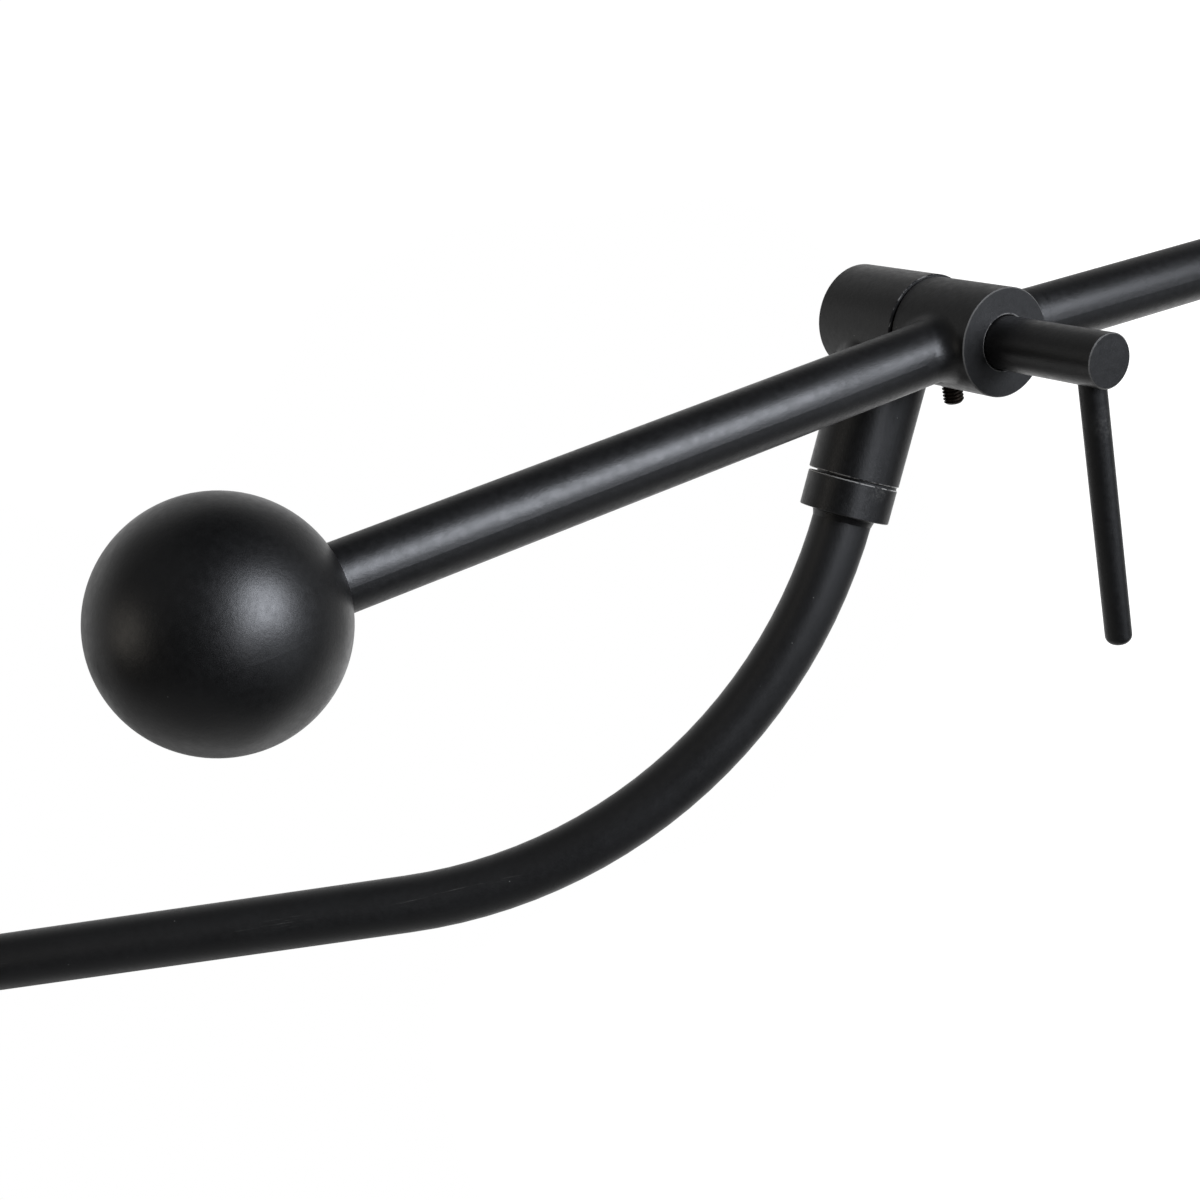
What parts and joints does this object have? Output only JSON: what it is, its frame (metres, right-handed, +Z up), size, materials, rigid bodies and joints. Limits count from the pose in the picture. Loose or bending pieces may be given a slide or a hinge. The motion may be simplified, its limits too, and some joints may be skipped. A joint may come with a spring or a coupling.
{
  "type": "counterbalanced boom arm",
  "caption": "Bent tube wall arm with a swivelling tee, a tilting boom balanced by a ball weight, and a handle bar on the pivot shaft.",
  "frame": {"origin": "centre of the back face of the wall plate, which lies against the wall", "axes": "+Z up, +Y into the wall, so the arm reaches out towards -Y; the arm lies in the plane X = 0"},
  "size_m": [0.2729, 0.5117, 0.3769],
  "materials": {
    "powder_black": "satin black powder coat",
    "powder_black_ball": "satin black powder coat",
    "black_oxide": "oiled black oxide on steel",
    "zinc_steel": "zinc plated steel",
    "spring_steel": "blued spring steel",
    "brass_plain": "plain turned brass",
    "bronze": "sintered bronze",
    "nylon": "natural nylon",
    "nylon_black": "black nylon",
    "black_cap": "moulded black plastic"
  },
  "bodies": {
    "arm": {"wall_plate": "powder_black", "arm_boss": "powder_black", "boss_screw": "zinc_steel", "arm_set_screw": "black_oxide", "support_arm": "powder_black", "swivel_collar": "powder_black", "swivel_pin": "zinc_steel", "swivel_washer": "nylon_black", "retaining_ring": "spring_steel"},
    "head": {"swivel_bush": "nylon", "pivot_tee": "powder_black", "tilt_bush": "bronze", "seam_washer": "nylon", "rear_cap": "black_cap"},
    "boom": {"tilt_hub": "powder_black", "tilt_shaft": "powder_black", "hub_set_screw": "black_oxide", "handle_bar": "powder_black", "backing_washer": "zinc_steel", "front_disc_spring": "spring_steel", "rear_disc_spring": "spring_steel", "tilt_nut": "zinc_steel", "weight_rod": "powder_black", "ball_stud": "zinc_steel", "ball_weight": "powder_black_ball", "boom_tube": "powder_black", "boom_nipple": "brass_plain"}
  },
  "joints": [
    {"name": "swivel", "type": "hinge", "parent": "arm", "child": "head", "pos_m": [0, -0.26541, 0.20344], "axis": [0, 0, 1], "range_deg": [-90, 90]},
    {"name": "tilt", "type": "hinge", "parent": "head", "child": "boom", "pos_m": [0, -0.26541, 0.20344], "axis": [-0.8064, -0.5913, 0], "range_deg": [-60, 20]}
  ]
}
